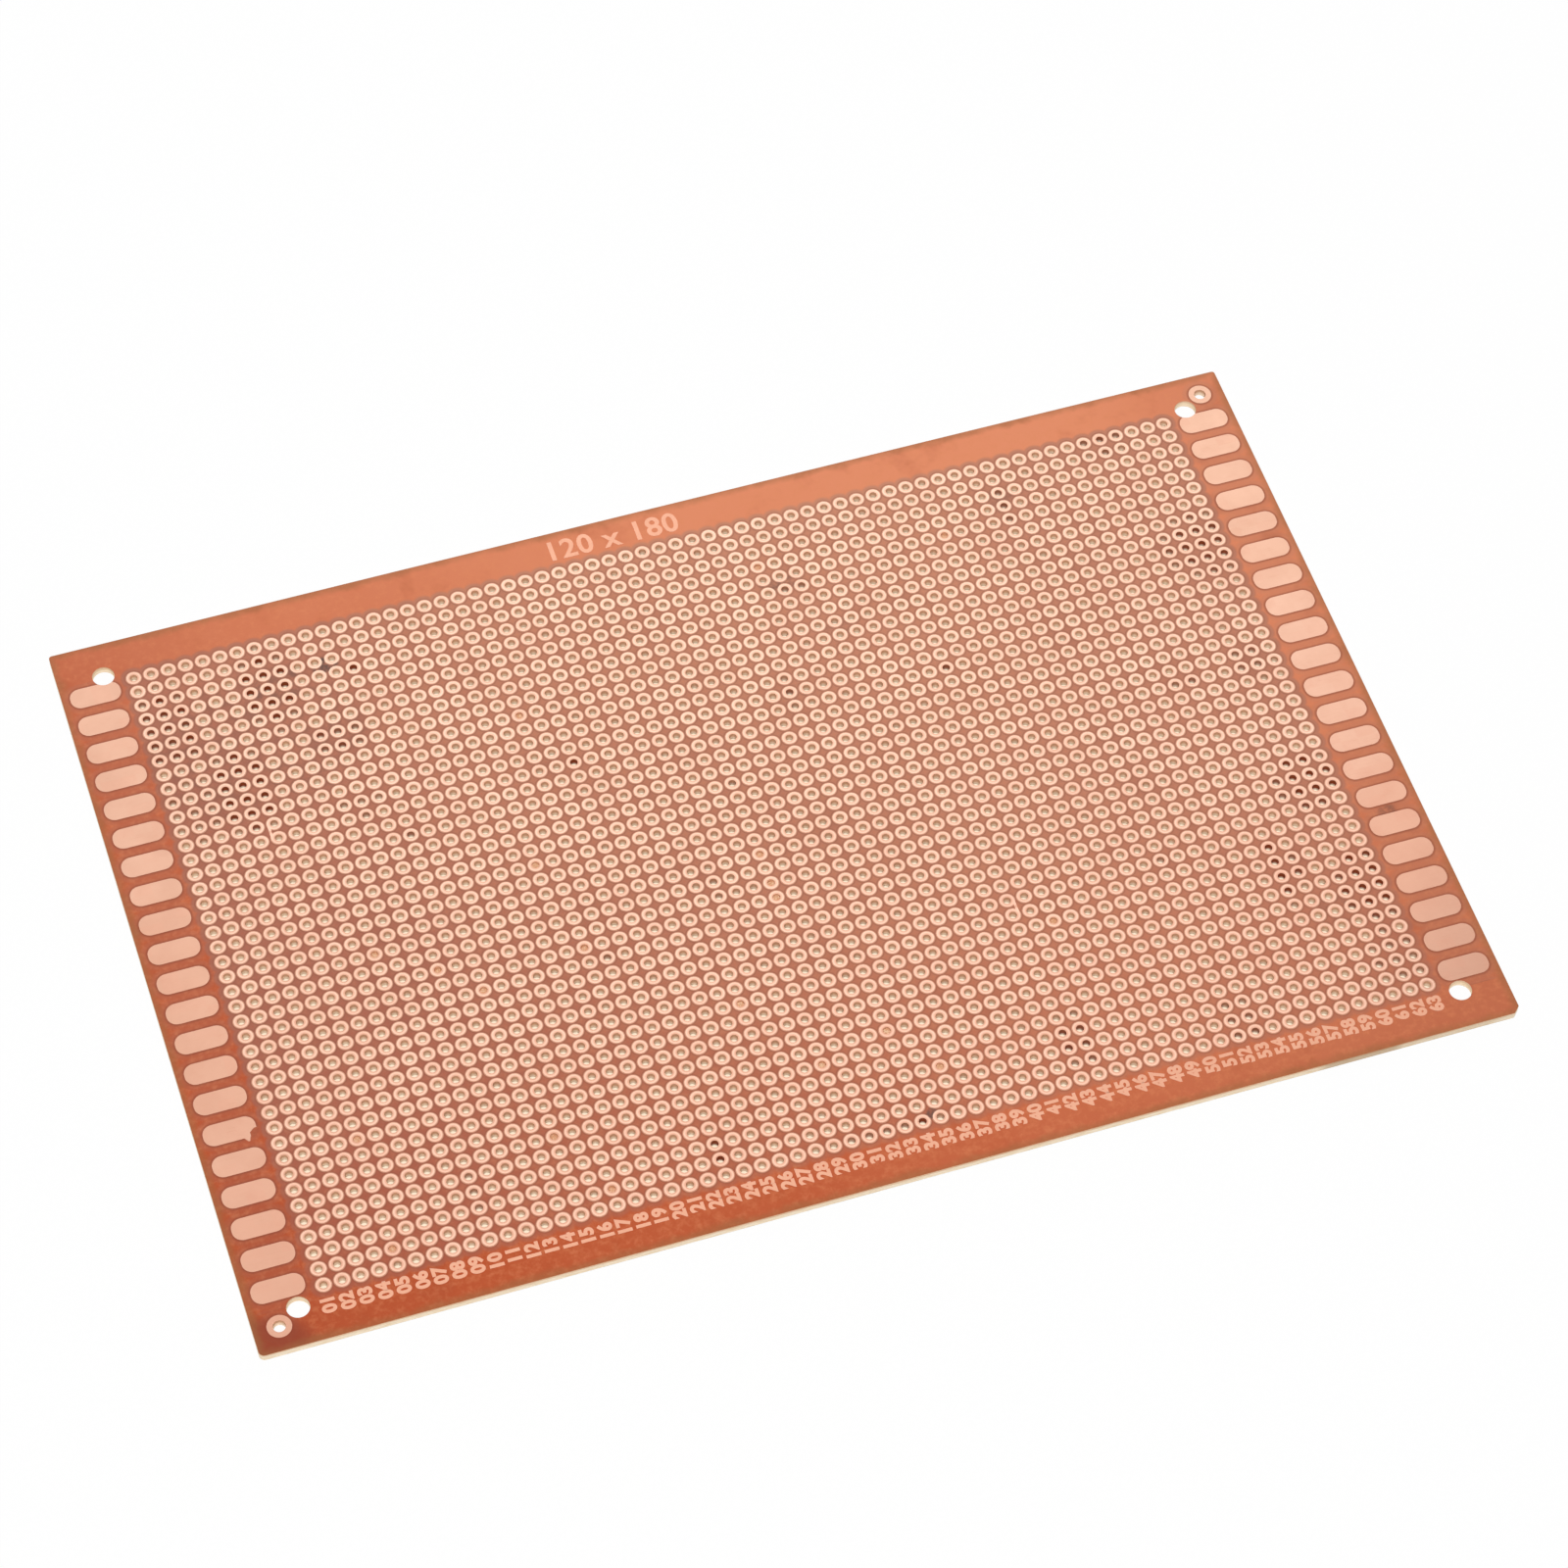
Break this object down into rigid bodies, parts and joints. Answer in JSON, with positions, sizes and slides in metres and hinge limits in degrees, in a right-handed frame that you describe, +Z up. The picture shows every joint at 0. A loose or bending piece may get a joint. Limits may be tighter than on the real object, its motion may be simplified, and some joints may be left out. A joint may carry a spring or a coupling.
{
  "type": "prototype board",
  "caption": "Flat single-sided prototype board of brown phenolic laminate, with a grid of lead holes ringed by copper pads, oblong end contacts and corner mounting holes.",
  "frame": {"origin": "under the middle of the panel, at the height that its ends rest on", "axes": "+X along the length, towards the highest numbered column; +Y along the width, towards the back edge; +Z up, out of the foil side"},
  "size_m": [0.179, 0.1194, 0.0014],
  "materials": {
    "phenolic_laminate": "semi-matte pressed resin paper laminate",
    "copper_foil": "bare etched copper under a thin flux lacquer"
  },
  "bodies": {
    "root": {"laminate": "phenolic_laminate", "end_contacts_left": "copper_foil", "end_contacts_right": "copper_foil", "tie_pads": "copper_foil", "pad_strip_01": "copper_foil", "pad_strip_02": "copper_foil", "pad_strip_03": "copper_foil", "pad_strip_04": "copper_foil", "pad_strip_05": "copper_foil", "pad_strip_06": "copper_foil", "pad_strip_07": "copper_foil", "pad_strip_08": "copper_foil", "pad_strip_09": "copper_foil", "pad_strip_10": "copper_foil", "pad_strip_11": "copper_foil", "pad_strip_12": "copper_foil", "pad_strip_13": "copper_foil", "pad_strip_14": "copper_foil", "pad_strip_15": "copper_foil", "pad_strip_16": "copper_foil", "pad_strip_17": "copper_foil", "pad_strip_18": "copper_foil", "pad_strip_19": "copper_foil", "pad_strip_20": "copper_foil", "pad_strip_21": "copper_foil"}
  },
  "joints": []
}
